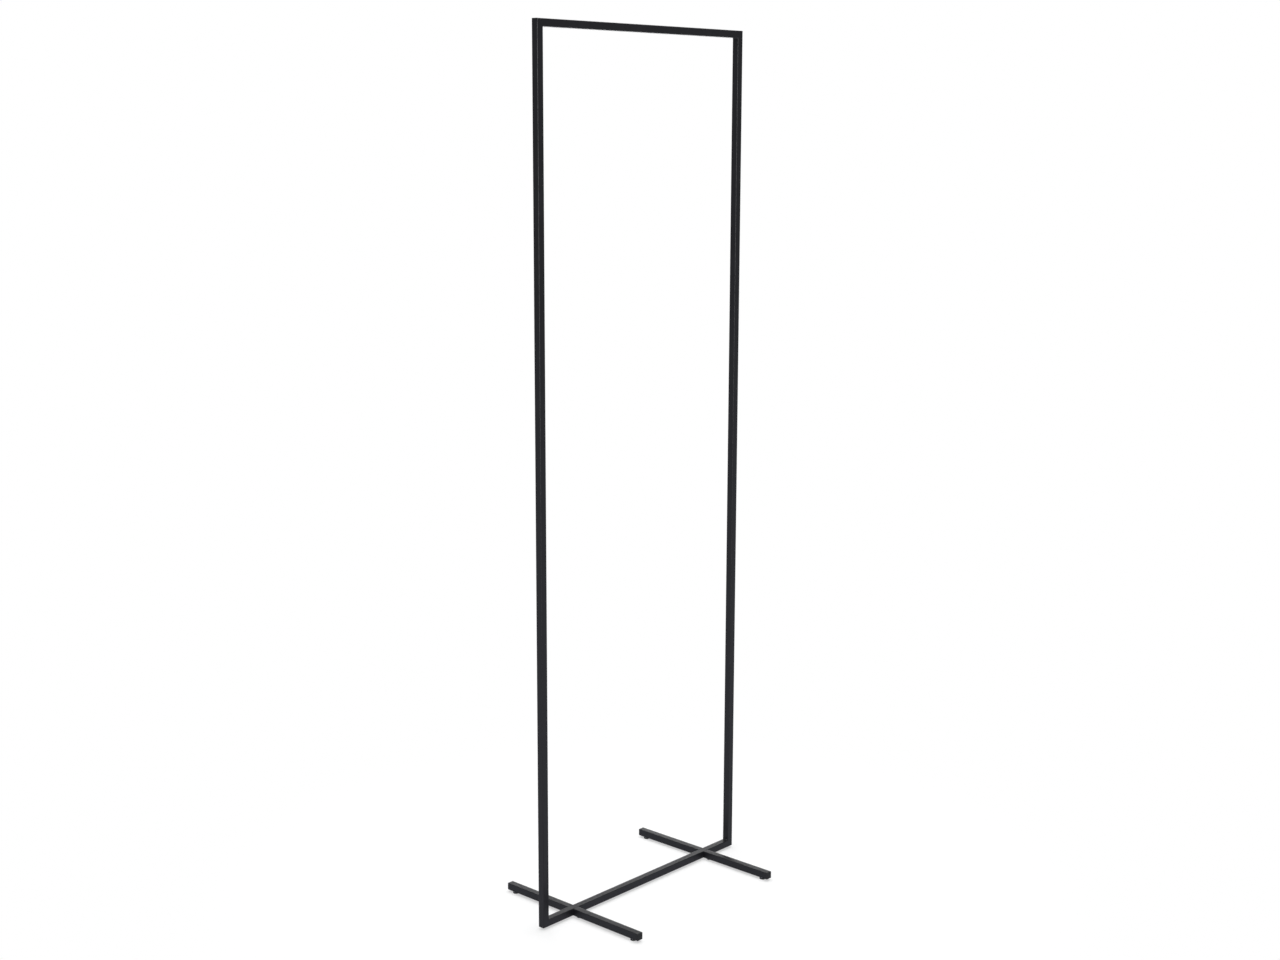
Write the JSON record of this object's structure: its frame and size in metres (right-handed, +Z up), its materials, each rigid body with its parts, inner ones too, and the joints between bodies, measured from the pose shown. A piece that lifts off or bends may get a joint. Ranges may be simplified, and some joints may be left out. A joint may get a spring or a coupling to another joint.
{
  "type": "clothing rack",
  "caption": "Free-standing garment rack: a tall closed frame of slim square tube on two short cross feet, with screw-out levelling glides.",
  "frame": {"origin": "on the floor, in the middle of the footprint", "axes": "+X along the hanging rail to the right, +Y to the rear along the cross feet, +Z up"},
  "size_m": [0.6, 0.375, 1.8],
  "materials": {
    "powder_coat": "satin",
    "coated_weld": "satin",
    "cap_plastic": "matte",
    "glide_plastic": "matte",
    "black_screw": "black zinc",
    "zinc_steel": "zinc plated",
    "spigot_steel": "plain"
  },
  "bodies": {
    "frame": {"top_rail": "powder_coat", "bottom_rail": "powder_coat", "upright_left": "powder_coat", "foot_spigot_left": "spigot_steel", "spigot_plug_weld_left": "coated_weld", "corner_weld_top_left": "coated_weld", "corner_weld_bottom_left": "coated_weld", "foot_tube_front_left": "powder_coat", "foot_end_cap_front_left": "cap_plastic", "foot_screw_front_left": "black_screw", "glide_insert_front_left": "zinc_steel", "foot_tube_rear_left": "powder_coat", "foot_end_cap_rear_left": "cap_plastic", "foot_screw_rear_left": "black_screw", "glide_insert_rear_left": "zinc_steel", "upright_right": "powder_coat", "foot_spigot_right": "spigot_steel", "spigot_plug_weld_right": "coated_weld", "corner_weld_top_right": "coated_weld", "corner_weld_bottom_right": "coated_weld", "foot_tube_front_right": "powder_coat", "foot_end_cap_front_right": "cap_plastic", "foot_screw_front_right": "black_screw", "glide_insert_front_right": "zinc_steel", "foot_tube_rear_right": "powder_coat", "foot_end_cap_rear_right": "cap_plastic", "foot_screw_rear_right": "black_screw", "glide_insert_rear_right": "zinc_steel"},
    "glide_foot_front_left": {"glide_pad_front_left": "glide_plastic"},
    "glide_screw_front_left": {"glide_stud_front_left": "zinc_steel"},
    "glide_foot_rear_left": {"glide_pad_rear_left": "glide_plastic"},
    "glide_screw_rear_left": {"glide_stud_rear_left": "zinc_steel"},
    "glide_foot_front_right": {"glide_pad_front_right": "glide_plastic"},
    "glide_screw_front_right": {"glide_stud_front_right": "zinc_steel"},
    "glide_foot_rear_right": {"glide_pad_rear_right": "glide_plastic"},
    "glide_screw_rear_right": {"glide_stud_rear_right": "zinc_steel"}
  },
  "joints": [
    {"name": "glide_height_front_left", "type": "slide", "parent": "frame", "child": "glide_foot_front_left", "axis": [0, 0, -1], "range_m": [0, 0.008]},
    {"name": "glide_turn_front_left", "type": "hinge", "parent": "glide_foot_front_left", "child": "glide_screw_front_left", "pos_m": [-0.2075, -0.1695, 0], "axis": [0, 0, -1], "range_deg": [0, 2970]},
    {"name": "glide_height_rear_left", "type": "slide", "parent": "frame", "child": "glide_foot_rear_left", "axis": [0, 0, -1], "range_m": [0, 0.008]},
    {"name": "glide_turn_rear_left", "type": "hinge", "parent": "glide_foot_rear_left", "child": "glide_screw_rear_left", "pos_m": [-0.2075, 0.1695, 0], "axis": [0, 0, -1], "range_deg": [0, 2970]},
    {"name": "glide_height_front_right", "type": "slide", "parent": "frame", "child": "glide_foot_front_right", "axis": [0, 0, -1], "range_m": [0, 0.008]},
    {"name": "glide_turn_front_right", "type": "hinge", "parent": "glide_foot_front_right", "child": "glide_screw_front_right", "pos_m": [0.2075, -0.1695, 0], "axis": [0, 0, -1], "range_deg": [0, 2970]},
    {"name": "glide_height_rear_right", "type": "slide", "parent": "frame", "child": "glide_foot_rear_right", "axis": [0, 0, -1], "range_m": [0, 0.008]},
    {"name": "glide_turn_rear_right", "type": "hinge", "parent": "glide_foot_rear_right", "child": "glide_screw_rear_right", "pos_m": [0.2075, 0.1695, 0], "axis": [0, 0, -1], "range_deg": [0, 2970]}
  ],
  "couplings": [
    {"joint": "glide_turn_front_left", "follows": "glide_height_front_left", "rad_per_m": 6283.2},
    {"joint": "glide_turn_rear_left", "follows": "glide_height_rear_left", "rad_per_m": 6283.2},
    {"joint": "glide_turn_front_right", "follows": "glide_height_front_right", "rad_per_m": 6283.2},
    {"joint": "glide_turn_rear_right", "follows": "glide_height_rear_right", "rad_per_m": 6283.2}
  ]
}
